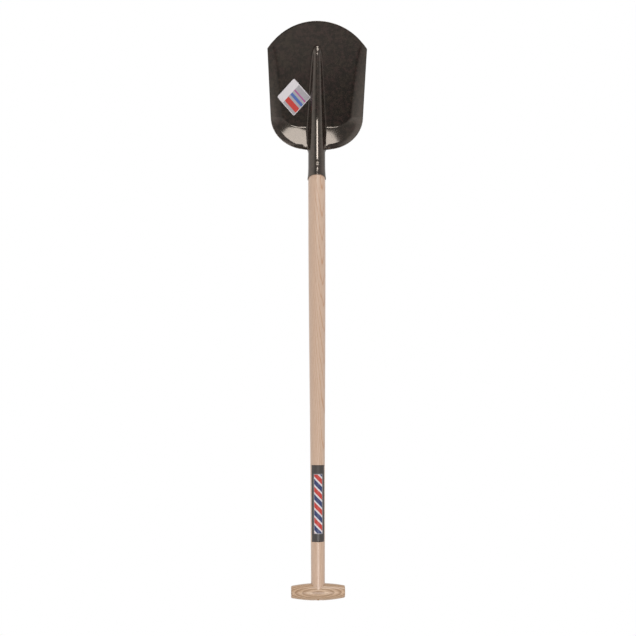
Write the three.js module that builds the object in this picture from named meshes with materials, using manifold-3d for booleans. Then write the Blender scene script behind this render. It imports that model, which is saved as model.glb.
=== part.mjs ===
import * as THREE from 'three';
import { mergeVertices } from 'three/addons/utils/BufferGeometryUtils.js';
import Module from 'manifold-3d';

const wasm = await Module();
wasm.setup();

const { clamp, degToRad, lerp, smoothstep } = THREE.MathUtils;

// A long garden spade: a dished steel blade, a wooden shaft and a T grip, in millimetres.
// The shaft's axis is Z, the blade is at the top and its hollow side faces -Y.
// Z is zero where the blade's shoulders end, so that the spade hangs by them from two pegs.

// Sheet and fits
const sheetThickness = 1.8;
const fitGap = 0.3;
const labelGap = 0.4;
const labelThickness = 0.3;

// Outline of the blade, seen from the front
const bladeLength = 302;
const cornerHalfWidth = 119;
const tipRadiusMargin = 22;
const heelHalfWidth = 110.6;
const shoulderLength = 77;
const shoulderInnerHalfWidth = 25;
const neckLength = 11;

// Hollow of the blade
const heelFloorDepth = 17.5;
const liftAngle = degToRad(13);
const floorSag = 4;
const floorCrossSag = 4;
const cornerWallHeight = 5;
const sideWallHeight = 14;
const heelWallHeight = 24;
const cornerWallShare = 0.16;
const sideWallShare = 0.34;
const heelWallShare = 0.73;
const wallPower = 1.3;
const sideLipHeight = 1.5;
const heelLipHeight = 5;
const lipStartShare = 0.83;
const lipPower = 1.3;

// Hollow rib, whose crest follows the shaft's line up to a bend and then a straight line to its nose
const ribEndClearance = 49;
const ribNoseHeight = 2.5;
const ribNoseLength = 30;
const ribNoseRadius = 11;
const ribFilletRadius = 6;
const ribFlankAngle = degToRad(76);
const ribBendHeight = 72;
const ribBendLength = 10;

// Socket, rolled from the same sheet, with its seam at the back
const socketRadius = 20.7;
const socketBlendLength = 25;
const socketBlendWidth = 15;
const throatLength = 26;
const seamGap = 0.8;
const mouthDepth = 71;
const mouthSetBack = 9.5;
const mouthFlare = 1.8;

// Shaft
const shaftNoseLength = 50;
const shaftNoseRadius = 9;
const shaftNoseRounding = 6;
const shaftRadius = 20.75;
const waistRadius = 17.3;
const shaftEndRadius = 16.8;
const taperStartDepth = 200;
const waistLength = 168;

// Grip, a turned barrel that is thinner from front to back than it is tall
const gripDepth = 1068;
const gripLength = 130;
const gripHalfHeight = 21;
const gripHalfThickness = 18;
const gripEndHalfHeight = 14.6;
const gripEdgeRadius = 2.5;

// Tenon of the shaft and the wedge that spreads it
const tenonRadius = 11;
const wedgeLength = 24;
const wedgeThickness = 5;
const wedgePoint = 1;

// Nail through the front of the socket
const nailDepth = 35;
const nailHeadRadius = 4;
const nailHeadHeight = 1.6;
const nailHeadEdge = 0.6;
const nailShankRadius = 1.7;
const nailLength = 26;
const nailPointLength = 5;

// Labels
const bladeLabelOffset = 55;
const bladeLabelHeight = 125;
const bladeLabelHalfWidth = 41;
const bladeLabelHalfHeight = 44.5;
const shaftLabelClearance = 122;
const shaftLabelLength = 185;
const shaftLabelHalfAngle = degToRad(56);

// Faces round and along the pieces
const halfColumns = 26;
const sideRows = 17;
const shoulderRows = 11;
const neckRows = 2;
const throatRows = 7;
const socketRows = 4;
const ribColumnShare = 0.5;
const ribFootShare = 1.35;
const columnCrowdingShare = 0.75;
const turnFaces = 32;
const taperFaces = 12;
const barrelFaces = 10;
const edgeFaces = 3;
const labelFaces = 10;

const steel = new THREE.MeshStandardMaterial({ color: 0x4a413b, metalness: 0.7, roughness: 0.35 });
const ash = new THREE.MeshStandardMaterial({ color: 0xd3b79f, metalness: 0, roughness: 0.55 });
const gripWood = new THREE.MeshStandardMaterial({ color: 0xb48d6b, metalness: 0, roughness: 0.5 });
const wedgeWood = new THREE.MeshStandardMaterial({ color: 0x8a6242, metalness: 0, roughness: 0.6 });
const nailSteel = new THREE.MeshStandardMaterial({ color: 0x8d8780, metalness: 0.8, roughness: 0.35 });
const paleLabel = new THREE.MeshStandardMaterial({ color: 0xc9c8cb, metalness: 0.2, roughness: 0.4 });
const darkLabel = new THREE.MeshStandardMaterial({ color: 0x3c3838, metalness: 0.1, roughness: 0.45 });

// Derived sizes and places: the tip's arc is wider than the blade, and the rib ends short of the tip
const tipRadius = cornerHalfWidth + tipRadiusMargin;
const ribLength = bladeLength - ribEndClearance;
const cornerHeight = bladeLength - tipRadius + Math.sqrt(tipRadius ** 2 - cornerHalfWidth ** 2);
const throatDepth = neckLength + throatLength;
const edgeAngle = Math.PI - seamGap / 2 / socketRadius;
const nailPointDepth = nailLength - socketRadius - fitGap;
const waistDepth = gripDepth - waistLength;
const shaftLabelDepth = gripDepth - shaftLabelClearance - shaftLabelLength;

// A thin closed solid between two offsets of the surface pointAt(row, side), with side from -1 to 1.
function shell(pointAt, rowCount, columnCount, outerOffset, innerOffset) {
  const surface = [];
  for (let row = 0; row <= rowCount; row += 1) {
    for (let column = 0; column <= columnCount; column += 1) {
      surface.push(pointAt(row, 2 * column / columnCount - 1));
    }
  }
  const stride = columnCount + 1;
  const positions = [];
  for (const offset of [outerOffset, innerOffset]) {
    for (let row = 0; row <= rowCount; row += 1) {
      for (let column = 0; column <= columnCount; column += 1) {
        const here = surface[row * stride + column];
        const up = surface[Math.max(row - 1, 0) * stride + column];
        const down = surface[Math.min(row + 1, rowCount) * stride + column];
        const left = surface[row * stride + Math.max(column - 1, 0)];
        const right = surface[row * stride + Math.min(column + 1, columnCount)];
        const normal = down.clone().sub(up).cross(right.clone().sub(left)).normalize();
        positions.push(...here.clone().addScaledVector(normal, offset).toArray());
      }
    }
  }
  const faces = [];
  const layer = surface.length;
  const quad = (a, b, c, d) => faces.push(a, b, c, a, c, d);
  for (let row = 0; row < rowCount; row += 1) {
    for (let column = 0; column < columnCount; column += 1) {
      const corners = [row * stride + column, (row + 1) * stride + column];
      corners.push(corners[1] + 1, corners[0] + 1);
      if (column >= columnCount / 2) {
        corners.push(corners.shift());
      }
      const [a, b, c, d] = corners;
      quad(a, b, c, d);
      quad(layer + a, layer + d, layer + c, layer + b);
    }
  }
  for (let column = 0; column < columnCount; column += 1) {
    const last = rowCount * stride + column;
    quad(column, column + 1, layer + column + 1, layer + column);
    quad(last + 1, last, layer + last, layer + last + 1);
  }
  for (let row = 0; row < rowCount; row += 1) {
    const first = row * stride;
    const last = first + columnCount;
    quad(first + stride, first, layer + first, layer + first + stride);
    quad(last, last + stride, layer + last + stride, layer + last);
  }
  const geometry = new THREE.BufferGeometry();
  geometry.setAttribute('position', new THREE.Float32BufferAttribute(positions, 3));
  geometry.setIndex(faces);
  geometry.computeVertexNormals();
  return geometry;
}

function toSolid(geometry) {
  const bare = geometry.clone();
  bare.deleteAttribute('normal');
  bare.deleteAttribute('uv');
  const merged = mergeVertices(bare);
  return new wasm.Manifold(new wasm.Mesh({
    numProp: 3,
    vertProperties: new Float32Array(merged.attributes.position.array),
    triVerts: new Uint32Array(merged.index.array),
  }));
}

function toGeometry(solid) {
  const mesh = solid.getMesh();
  const geometry = new THREE.BufferGeometry();
  geometry.setAttribute('position', new THREE.BufferAttribute(mesh.vertProperties, 3));
  geometry.setIndex(new THREE.BufferAttribute(mesh.triVerts, 1));
  geometry.computeVertexNormals();
  return geometry;
}

// Half the blade's width between the corners and the shoulders
function sideHalfWidth(z) {
  const cornerwards = (z - shoulderLength) / (cornerHeight - shoulderLength);
  return lerp(heelHalfWidth, cornerHalfWidth, cornerwards);
}

function floorDepth(x, z) {
  const sag = floorSag * Math.sin(Math.PI * clamp(z / bladeLength, 0, 1));
  const crossSag = floorCrossSag * (x / cornerHalfWidth) ** 2;
  return heelFloorDepth - z * Math.tan(liftAngle) + sag - crossSag;
}

// The floor with its walls, which turn up more and more from the corners to the neck and end in a lip
function panDepthAt(x, z) {
  const outer = sideHalfWidth(Math.max(z, shoulderLength)) - shoulderInnerHalfWidth;
  const across = Math.max(x - shoulderInnerHalfWidth, 0) / outer;
  const along = Math.max(shoulderLength - z, 0) / shoulderLength;
  const rim = Math.min(Math.hypot(across, along), 1);
  const downwards = Math.sin(Math.atan2(along, across));
  const heelwards = clamp((cornerHeight - z) / (cornerHeight - shoulderLength), 0, 1);
  const sideHeight = lerp(cornerWallHeight, sideWallHeight, heelwards);
  const sideShare = lerp(cornerWallShare, sideWallShare, Math.sqrt(heelwards));
  const wallHeight = lerp(sideHeight, heelWallHeight, downwards);
  const wallShare = lerp(sideShare, heelWallShare, downwards);
  const lipHeight = lerp(sideLipHeight * heelwards, heelLipHeight, downwards);
  const climb = Math.max(1 - (1 - rim) / wallShare, 0);
  const lip = Math.max((rim - lipStartShare) / (1 - lipStartShare), 0);
  return floorDepth(x, z) - wallHeight * climb ** wallPower - lipHeight * lip ** lipPower;
}

// How far the crest has left the shaft's line
function bendReach(z) {
  const past = z - ribBendHeight;
  const before = ribBendHeight + neckLength;
  return past + Math.hypot(past, ribBendLength) + before - Math.hypot(before, ribBendLength);
}

// Height of the rib's crest over the floor
function ribHeight(z) {
  const endDepth = panDepthAt(0, ribLength) - ribNoseHeight;
  const crest = lerp(-socketRadius, endDepth, bendReach(z) / bendReach(ribLength));
  return Math.max(panDepthAt(0, z) - crest, ribNoseHeight);
}

// A section of the rib: a round crest, straight flanks and a fillet down to the floor.
// A low rib turns only as far as its height allows.
function ribSection(height, crestRadius) {
  const both = crestRadius + ribFilletRadius;
  const turn = Math.min(ribFlankAngle, Math.acos(clamp(1 - height / both, -1, 1)));
  const flank = Math.max(height - both * (1 - Math.cos(turn)), 0) / Math.sin(turn);
  const crestEnd = crestRadius * Math.sin(turn);
  const flankEnd = crestEnd + flank * Math.cos(turn);
  const foot = flankEnd + ribFilletRadius * Math.sin(turn);
  const dropAt = (distance) => {
    if (distance < crestEnd) {
      return crestRadius - Math.sqrt(crestRadius ** 2 - distance ** 2);
    }
    if (distance < flankEnd) {
      return crestRadius * (1 - Math.cos(turn)) + (distance - crestEnd) * Math.tan(turn);
    }
    const within = Math.max(foot - distance, 0);
    return height - ribFilletRadius + Math.sqrt(ribFilletRadius ** 2 - within ** 2);
  };
  return { foot, dropAt };
}

// Y of the blade's hollow side, which turns into the front of the socket at the neck
function bladeDepthAt(x, z) {
  const noseStart = ribLength - ribNoseLength;
  const noseFoot = ribSection(ribHeight(noseStart), ribNoseRadius).foot;
  const distance = Math.hypot(x, Math.max(z - noseStart, 0) * noseFoot / ribNoseLength);
  const nosewards = clamp((z + neckLength) / (noseStart + neckLength), 0, 1);
  const height = ribHeight(z);
  const section = ribSection(height, lerp(socketRadius, ribNoseRadius, nosewards));
  const ribbed = panDepthAt(x, z) - height + section.dropAt(distance);
  const tube = -Math.sqrt(Math.max(socketRadius ** 2 - x ** 2, 0));
  const along = 1 - smoothstep(z, -neckLength, socketBlendLength);
  const across = 1 - smoothstep(x, socketRadius, socketRadius + socketBlendWidth);
  return lerp(ribbed, tube, along * across);
}

// A row across the blade, with a share of its columns on the rib and the rest on the floor and wall
function bladeRow(halfWidth, heightAt) {
  const split = Math.min(ribFootShare * socketRadius, halfWidth * Math.SQRT1_2);
  return (side) => {
    const inwards = Math.min(Math.abs(side) / ribColumnShare, 1);
    const neckwards = 1 - smoothstep(heightAt(0), 0, shoulderLength);
    const inner = split * lerp(inwards, Math.sin(Math.PI / 2 * inwards), neckwards);
    const outwards = Math.max((Math.abs(side) - ribColumnShare) / (1 - ribColumnShare), 0);
    const crowding = columnCrowdingShare * Math.sin(2 * Math.PI * outwards) / (2 * Math.PI);
    const x = inner + (halfWidth - split) * (outwards - crowding);
    const z = heightAt(x);
    return new THREE.Vector3(Math.sign(side) * x, bladeDepthAt(x, z), z);
  };
}

function socketRadiusAt(z) {
  const flareLength = mouthDepth - throatDepth;
  return socketRadius + mouthFlare * (Math.max(-throatDepth - z, 0) / flareLength) ** 2;
}

function socketRow(turn, heightAt) {
  return (side) => {
    const angle = side * turn;
    const z = heightAt(angle);
    const radius = socketRadiusAt(z);
    return new THREE.Vector3(radius * Math.sin(angle), -radius * Math.cos(angle), z);
  };
}

// Rows from the tip of the blade to the mouth of the socket
function sheetRows() {
  const rows = [];
  const arc = (x) => Math.sqrt(tipRadius ** 2 - x ** 2);
  for (let step = 0; step < sideRows; step += 1) {
    const share = step / sideRows;
    const edgeHeight = lerp(cornerHeight, shoulderLength, share);
    const halfWidth = sideHalfWidth(edgeHeight);
    rows.push(bladeRow(halfWidth, (x) => edgeHeight + (1 - share) * (arc(x) - arc(halfWidth))));
  }
  for (let step = 0; step < shoulderRows; step += 1) {
    const angle = Math.PI / 2 * step / shoulderRows;
    const reach = (heelHalfWidth - shoulderInnerHalfWidth) * Math.cos(angle);
    rows.push(bladeRow(shoulderInnerHalfWidth + reach, () => shoulderLength * (1 - Math.sin(angle))));
  }
  for (let step = 0; step < neckRows; step += 1) {
    const angle = Math.PI / 2 * step / neckRows;
    const halfWidth = lerp(shoulderInnerHalfWidth, socketRadius, Math.sin(angle));
    rows.push(bladeRow(halfWidth, () => -neckLength * (1 - Math.cos(angle))));
  }
  for (let step = 0; step < throatRows; step += 1) {
    const share = step / throatRows;
    const turn = lerp(Math.PI / 2, edgeAngle, smoothstep(share, 0, 1));
    rows.push(socketRow(turn, () => -neckLength - throatLength * share));
  }
  for (let step = 0; step <= socketRows; step += 1) {
    const share = step / socketRows;
    const mouthAt = (angle) => mouthSetBack * Math.cos(angle) - mouthDepth;
    rows.push(socketRow(edgeAngle, (angle) => lerp(-throatDepth, mouthAt(angle), share)));
  }
  return rows;
}

function lathe(profile) {
  return new THREE.LatheGeometry(profile.map(([radius, z]) => new THREE.Vector2(radius, z)), turnFaces);
}

// A round solid along Y, from a profile of radii and places that ends on the axis
function rodAlongY(profile, z) {
  const geometry = lathe(profile);
  geometry.translate(0, 0, z);
  return geometry;
}

// The nail's hole, from well outside the socket to just past the nail's point
function nailHole() {
  const radius = nailShankRadius + fitGap;
  const inner = nailPointDepth + fitGap;
  const outer = inner - nailLength - socketRadius;
  return toSolid(rodAlongY([[0, outer], [radius, outer], [radius, inner], [0, inner]], -nailDepth));
}

function blade() {
  const rows = sheetRows();
  const pointAt = (row, side) => rows[row](side);
  const sheet = shell(pointAt, rows.length - 1, 2 * halfColumns, 0, -sheetThickness);
  return toGeometry(toSolid(sheet).subtract(nailHole()));
}

function shaftRadiusAt(z) {
  const narrowing = smoothstep(-z, taperStartDepth, waistDepth);
  const ending = smoothstep(-z, waistDepth, gripDepth);
  return lerp(shaftRadius, waistRadius, narrowing) - (waistRadius - shaftEndRadius) * ending;
}

// Radius that the wood is dressed to inside the socket
function dressedRadiusAt(z) {
  return Math.min(socketRadiusAt(z) - sheetThickness - fitGap, shaftRadiusAt(z));
}

function turnedShaft() {
  const mouthBackDepth = mouthDepth + mouthSetBack;
  const profile = [[0, -gripDepth]];
  for (let step = taperFaces; step > 0; step -= 1) {
    const z = -lerp(mouthBackDepth, gripDepth, step / taperFaces);
    profile.push([shaftRadiusAt(z), z]);
  }
  for (let step = socketRows; step >= 0; step -= 1) {
    const z = -lerp(throatDepth, mouthBackDepth, step / socketRows);
    profile.push([dressedRadiusAt(z), z]);
  }
  profile.push([dressedRadiusAt(-neckLength), -neckLength]);
  const roundingStart = shaftNoseLength - shaftNoseRounding;
  profile.push([shaftNoseRadius, roundingStart]);
  profile.push([shaftNoseRadius * Math.SQRT1_2, roundingStart + shaftNoseRounding * Math.SQRT1_2]);
  profile.push([0, shaftNoseLength]);
  const geometry = lathe(profile);
  geometry.rotateX(Math.PI / 2);
  return toSolid(geometry);
}

// The grip's barrel, larger all over by a margin
function barrel(margin) {
  const half = gripLength / 2 + margin;
  const radiusAt = (x) => lerp(gripHalfHeight, gripEndHalfHeight, (2 * x / gripLength) ** 2) + margin;
  const inner = half - gripEdgeRadius;
  const profile = [[0, -half]];
  const addEdge = (step, side) => {
    const angle = Math.PI / 2 * step / edgeFaces;
    const radius = radiusAt(inner) - gripEdgeRadius * (1 - Math.sin(angle));
    profile.push([radius, side * (inner + gripEdgeRadius * Math.cos(angle))]);
  };
  for (let step = 0; step < edgeFaces; step += 1) {
    addEdge(step, -1);
  }
  for (let step = 0; step <= barrelFaces; step += 1) {
    const x = inner * (2 * step / barrelFaces - 1);
    profile.push([radiusAt(x), x]);
  }
  for (let step = edgeFaces - 1; step >= 0; step -= 1) {
    addEdge(step, 1);
  }
  profile.push([0, half]);
  const geometry = lathe(profile);
  geometry.rotateZ(-Math.PI / 2);
  geometry.scale(1, (gripHalfThickness + margin) / (gripHalfHeight + margin), 1);
  return toSolid(geometry.translate(0, 0, -gripDepth));
}

// A round rod down through the grip, from inside the shaft's end to below the barrel
function tenonRod(margin) {
  const radius = tenonRadius + margin;
  const reach = 2 * gripHalfHeight;
  const geometry = lathe([[0, -reach], [radius, -reach], [radius, reach], [0, reach]]);
  geometry.rotateX(Math.PI / 2);
  return toSolid(geometry.translate(0, 0, -gripDepth));
}

// The wedge's taper as a prism along Y, larger all over by a margin
function wedgePrism(margin) {
  const point = wedgeLength - gripHalfHeight + margin;
  const bottom = -2 * gripHalfHeight;
  const halfPoint = wedgePoint / 2 + margin;
  const halfBottom = halfPoint + (wedgeThickness - wedgePoint) / 2 / wedgeLength * (point - bottom);
  const outline = new THREE.Shape();
  outline.moveTo(-halfBottom, bottom);
  outline.lineTo(halfBottom, bottom);
  outline.lineTo(halfPoint, point);
  outline.lineTo(-halfPoint, point);
  const width = 4 * tenonRadius;
  const geometry = new THREE.ExtrudeGeometry(outline, { depth: width, bevelEnabled: false });
  geometry.rotateX(Math.PI / 2);
  return toSolid(geometry.translate(0, width / 2, -gripDepth));
}

// The shaft is coped to sit astride the grip, and its tenon goes right through
function shaft() {
  const turned = turnedShaft();
  const tenon = tenonRod(0).intersect(turned.add(barrel(0)));
  const coped = turned.subtract(barrel(fitGap)).add(tenon);
  return toGeometry(coped.subtract(wedgePrism(fitGap)).subtract(nailHole()));
}

function grip() {
  return toGeometry(barrel(0).subtract(tenonRod(fitGap)));
}

function gripWedge() {
  return toGeometry(wedgePrism(0).intersect(tenonRod(0)).intersect(barrel(0)));
}

function socketNail() {
  const seat = -socketRadius - fitGap;
  const profile = [];
  for (let step = 0; step <= edgeFaces; step += 1) {
    const angle = Math.PI / 2 * step / edgeFaces;
    const rise = (nailHeadHeight - nailHeadEdge) * Math.cos(angle);
    profile.push([nailHeadRadius * Math.sin(angle), seat - nailHeadEdge - rise]);
  }
  profile.push([nailHeadRadius, seat], [nailShankRadius, seat]);
  profile.push([nailShankRadius, nailPointDepth - nailPointLength], [0, nailPointDepth]);
  return rodAlongY(profile, -nailDepth);
}

// A square label turned on its corner, which follows the floor and the foot of the rib
function bladeLabel() {
  const pointAt = (row, side) => {
    const rise = 1 - 2 * row / labelFaces;
    const x = bladeLabelHalfWidth * (side - rise) / 2 - bladeLabelOffset;
    const z = bladeLabelHeight + bladeLabelHalfHeight * (side + rise) / 2;
    return new THREE.Vector3(x, bladeDepthAt(Math.abs(x), z), z);
  };
  return shell(pointAt, labelFaces, labelFaces, labelGap + labelThickness, labelGap);
}

function shaftLabel() {
  const pointAt = (row, side) => {
    const z = -shaftLabelDepth - shaftLabelLength * row / labelFaces;
    const angle = side * shaftLabelHalfAngle;
    const radius = shaftRadiusAt(z);
    return new THREE.Vector3(radius * Math.sin(angle), -radius * Math.cos(angle), z);
  };
  return shell(pointAt, labelFaces, labelFaces, labelGap + labelThickness, labelGap);
}

const spade = new THREE.Group();

function addPiece(name, geometry, material) {
  const mesh = new THREE.Mesh(geometry, material);
  mesh.name = name;
  spade.add(mesh);
}

addPiece('blade', blade(), steel);
addPiece('shaft', shaft(), ash);
addPiece('grip', grip(), gripWood);
addPiece('grip_wedge', gripWedge(), wedgeWood);
addPiece('socket_nail', socketNail(), nailSteel);
addPiece('blade_label', bladeLabel(), paleLabel);
addPiece('shaft_label', shaftLabel(), darkLabel);

export default spade;
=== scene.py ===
"""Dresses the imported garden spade: lacquered blade, ash shaft, turned grip, nail, labels and studio."""

import bpy
import numpy as np
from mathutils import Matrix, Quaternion, Vector


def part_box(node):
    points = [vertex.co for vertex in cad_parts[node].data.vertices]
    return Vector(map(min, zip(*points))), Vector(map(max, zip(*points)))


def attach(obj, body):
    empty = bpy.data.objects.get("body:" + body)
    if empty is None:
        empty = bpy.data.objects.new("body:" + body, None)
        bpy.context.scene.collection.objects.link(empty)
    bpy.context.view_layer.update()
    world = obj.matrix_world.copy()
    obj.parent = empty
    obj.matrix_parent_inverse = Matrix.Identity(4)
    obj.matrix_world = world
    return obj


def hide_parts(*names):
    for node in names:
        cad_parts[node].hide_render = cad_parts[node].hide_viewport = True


bl_info = {
    "name": "Dished garden spade",
    "version": (1, 0, 0),
    "blender": (4, 5, 0),
    "location": "3D View > Sidebar > Spade",
    "description": "Makes the finished pieces of a long garden spade over its packed solids",
    "category": "Object",
}

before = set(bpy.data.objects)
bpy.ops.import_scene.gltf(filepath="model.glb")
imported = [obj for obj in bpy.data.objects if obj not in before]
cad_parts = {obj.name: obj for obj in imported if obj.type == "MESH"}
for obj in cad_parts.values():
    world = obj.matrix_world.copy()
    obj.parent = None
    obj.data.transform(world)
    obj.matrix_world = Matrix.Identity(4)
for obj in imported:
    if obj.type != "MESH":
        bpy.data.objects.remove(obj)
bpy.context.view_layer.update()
MM = 0.001
join = np.concatenate

# Angles round an axis: fine for the shaft and the grip, coarse for the nail and the floor.
FINE_TURN = np.radians(np.arange(0, 360, 3.75))
COARSE_TURN = np.radians(np.arange(0, 360, 7.5))

# Steps round the quarter circle of the sheet's edge: how far out each lies and how full the sheet is there.
EDGE_TURN = np.radians([22.5, 45, 67.5, 90])
EDGE_REACH, EDGE_FULL = np.sin(EDGE_TURN), np.cos(EDGE_TURN)

# Edges that turn by more than this stay sharp.
EDGE_ANGLE, NAIL_EDGE_ANGLE = np.radians(40), np.radians(50)

# Levels round the studio as (degrees to the right of the camera's side, level), where 1 is white.
LOW_RING = [(-180, 0.7), (-95, 0.9), (-70, 0.4), (-45, 0.36), (-30, 0.26), (-18, 0.1), (-6, 0.03), (6, 0.14),
            (25, 0.13), (40, 0.26), (70, 0.27), (95, 0.4), (180, 0.7)]
HORIZON_RING = [(-180, 0.7), (-110, 0.8), (-73, 0.8), (-45, 0.75), (-32, 0.5), (-15, 0.26), (10, 0.27),
                (38, 0.42), (52, 0.46), (75, 0.7), (90, 0.7), (120, 0.65), (180, 0.6)]
HIGH_RING = [(-180, 0.8), (-80, 1.0), (-50, 0.3), (-15, 0.2), (50, 0.2), (95, 0.4), (180, 0.8)]

# How the rings give way to each other upwards, as (degrees of rise, share), and the glow from the floor, as
# (degrees of rise, level).
TO_HORIZON = [(-18, 0), (-8, 0.25), (-5, 0.5), (-1, 0.8), (3, 1)]
TO_HIGH = [(8, 0), (20, 1)]
FLOOR_GLOW = [(-40, 0.5), (-25, 0.38), (-21, 0.19), (-20, 0.07), (-17.5, 0)]


def linear(hex_colour):
    """An sRGB hex colour as the linear red, green, blue and alpha that shaders take. By the sRGB standard, a
    part s becomes s / 12.92 near black and ((s + 0.055) / 1.055) ^ 2.4 elsewhere."""
    srgb = np.array([int(hex_colour[at:at + 2], 16) for at in (1, 3, 5)]) / 255
    values = np.where(srgb <= 0.04045, srgb / 12.92, ((srgb + 0.055) / 1.055) ** 2.4)
    return (*(float(value) for value in values), 1.0)


def number(name, description, default, **kind):
    """A property that holds a number, with its unit, subtype and limits where it has any."""
    return bpy.props.FloatProperty(name=name, description=description, default=default, **kind)


def length(name, description, millimetres):
    """A length property in metres with its default given in millimetres."""
    return number(name, description, millimetres * MM, unit="LENGTH", precision=5)


def degrees(name, description, value):
    """An angle property in radians with its default given in degrees."""
    return number(name, description, np.radians(value), subtype="ANGLE")


def share(name, description, default):
    """A property that is a share from 0 to 1."""
    return number(name, description, default, min=0, max=1, subtype="FACTOR")


def watts(name, description, default):
    """The power of a lamp."""
    return number(name, description, default, min=0, unit="POWER")


def colour(name, description, hex_colour):
    """A colour property with its default given as sRGB hex."""
    return bpy.props.FloatVectorProperty(
        name=name, description=description, default=linear(hex_colour), size=4, subtype="COLOR", min=0, max=1
    )


class BladeSizes(bpy.types.PropertyGroup):
    """Sizes of the pressing: blade, rib and rolled socket."""

    sheet: length("Sheet", "Thickness of the steel sheet", 1.8)
    tip: length("Length", "From the end of the shoulders to the tip", 302)
    tip_radius: length("Tip radius", "Radius of the round nose seen from the front", 141)
    corner: length("Half width at the corners", "From the axis to a corner of the nose", 119)
    heel: length("Half width at the heel", "From the axis to the side where the shoulders start", 110.6)
    shoulder: length("Shoulder length", "Height of the rounded shoulders", 77)
    inner: length("Shoulder end", "From the axis to where the rim runs into the neck", 25)
    neck: length("Neck length", "Height of the fillet between rim and socket", 11)
    floor_depth: length("Floor depth at the heel", "How far the floor lies behind the axis there", 17.5)
    lift: degrees("Lift", "Angle between the shaft and the floor", 13)
    sag: length("Floor sag", "How far the floor curves back at half its length", 4)
    corner_wall: length("Wall at the corners", "Height of the side walls at the corners", 5)
    side_wall: length("Wall at the sides", "Height of the walls where the shoulders start", 14)
    heel_wall: length("Wall at the heel", "Height of the wall beside the neck", 24)
    corner_wall_share: share("Wall share at the corners", "Part of the half width that turns up there", 0.16)
    side_wall_share: share("Wall share at the sides", "Part of the half width that turns up there", 0.34)
    heel_wall_share: share("Wall share at the heel", "Part of the shoulders' height that turns up", 0.73)
    wall_power: number("Wall curve", "How late the wall steepens", 1.3)
    side_lip: length("Lip at the sides", "Extra height of the steep lip along the sides", 1.5)
    heel_lip: length("Lip at the heel", "Extra height of the steep lip along the shoulders", 5)
    lip_share: share("Lip start", "Where on the way out to the rim the lip starts", 0.83)
    lip_power: number("Lip curve", "How late the lip steepens", 1.3)
    rib: length("Rib length", "From the end of the shoulders to the nose of the rib", 253)
    rib_nose: length("Rib nose height", "Height of the crest's line over the floor at the rib's end", 2.5)
    rib_nose_length: length("Rib nose length", "Height over which the rib's nose rounds off", 30)
    rib_nose_radius: length("Rib nose radius", "Radius of the crest at the nose", 11)
    rib_fillet: length("Rib fillet", "Radius of the hollow between rib and floor", 6)
    rib_steepest: degrees("Rib flank", "Steepest slope of the rib's flanks", 76)
    rib_bend: length("Rib bend", "Height at which the crest bends away from the shaft's line", 72)
    rib_bend_length: length("Rib bend length", "Half the height over which the crest bends", 10)
    cross_sag: length("Cross sag", "How far the middle of the floor lies behind its sides", 4)
    socket: length("Socket radius", "Outer radius of the rolled socket", 20.7)
    blend_length: length("Socket blend length", "Height over which the rib turns into the socket", 25)
    blend_width: length("Socket blend width", "Width over which the rim runs into the socket", 15)
    throat: length("Throat length", "Height over which the rolled edges meet at the back", 26)
    seam: length("Seam", "Gap between the rolled edges", 0.8)
    mouth: length("Mouth depth", "From the end of the shoulders to the sides of the mouth", 71)
    mouth_back: length("Mouth slant", "How far the front of the mouth stands back", 9.5)
    flare: length("Mouth flare", "Growth of the radius at the mouth", 1.8)
    dimple: length("Dimple", "Depth of the dent that the nail sits in", 0.35)
    dimple_width: length("Dimple half width", "From the nail to the dent's sides", 5.2)
    dimple_height: length("Dimple half height", "From the nail to the dent's ends", 7.5)


class HandleSizes(bpy.types.PropertyGroup):
    """Sizes of the shaft, the grip, the tenon and the nail."""

    gap: length("Fit gap", "Gap between pieces that are driven together", 0.3)
    nose: length("Shaft nose", "Height of the shaft's nose under the rib", 50)
    nose_radius: length("Nose radius", "Radius of the shaft's nose", 9)
    nose_round: length("Nose rounding", "Length over which the nose rounds off", 6)
    radius: length("Shaft radius", "Radius of the shaft below the socket", 20.75)
    waist: length("Waist radius", "Radius of the shaft where its taper ends", 17.3)
    end: length("End radius", "Radius of the shaft at the grip", 16.8)
    taper_start: length("Taper start", "Depth at which the taper starts", 200)
    waist_length: length("Waist length", "From the waist to the grip's axis", 168)
    grip: length("Grip depth", "From the end of the shoulders to the grip's axis", 1068)
    grip_length: length("Grip length", "Length of the barrel", 130)
    grip_height: length("Grip half height", "Half height of the barrel at its middle", 21)
    grip_thickness: length("Grip half thickness", "Half thickness of the barrel at its middle", 18)
    grip_end: length("Grip end half height", "Half height of the barrel at its ends", 14.6)
    grip_edge: length("Grip edge radius", "Rounding of the barrel's end edges", 2.5)
    tenon: length("Tenon radius", "Radius of the shaft's tenon", 11)
    nail: length("Nail depth", "From the end of the shoulders to the nail", 35)
    nail_head: length("Nail head radius", "Radius of the nail's head", 3.1)
    nail_height: length("Nail head height", "Height of the nail's domed head", 0.75)
    nail_shank: length("Nail shank radius", "Radius of the nail's shank", 1.7)
    nail_length: length("Nail length", "Length of the nail's shank", 26)
    nail_point: length("Nail point", "Length of the nail's point", 5)


class LabelSizes(bpy.types.PropertyGroup):
    """Sizes and places of the two labels."""

    lift: length("Lift", "How far a label's outer face stands off the surface", 0.35)
    film: length("Film", "Thickness of a label", 0.25)
    blade_offset: length("Blade label offset", "From the axis to the label's middle", 55)
    blade_height: length("Blade label height", "From the end of the shoulders to the label's middle", 125)
    blade_half_width: length("Blade label half width", "From the label's middle to its side corners", 41)
    blade_half_height: length("Blade label half height", "From the label's middle to its upper corner", 44.5)
    corner_radius: length("Corner radius", "Rounding of the blade label's corners", 4)
    shaft_clearance: length("Shaft label clearance", "From the grip's axis to the label", 122)
    shaft_length: length("Shaft label length", "Height of the label", 185)
    shaft_half_angle: degrees("Shaft label half angle", "From the shaft's front to the label's side", 58.5)


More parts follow.
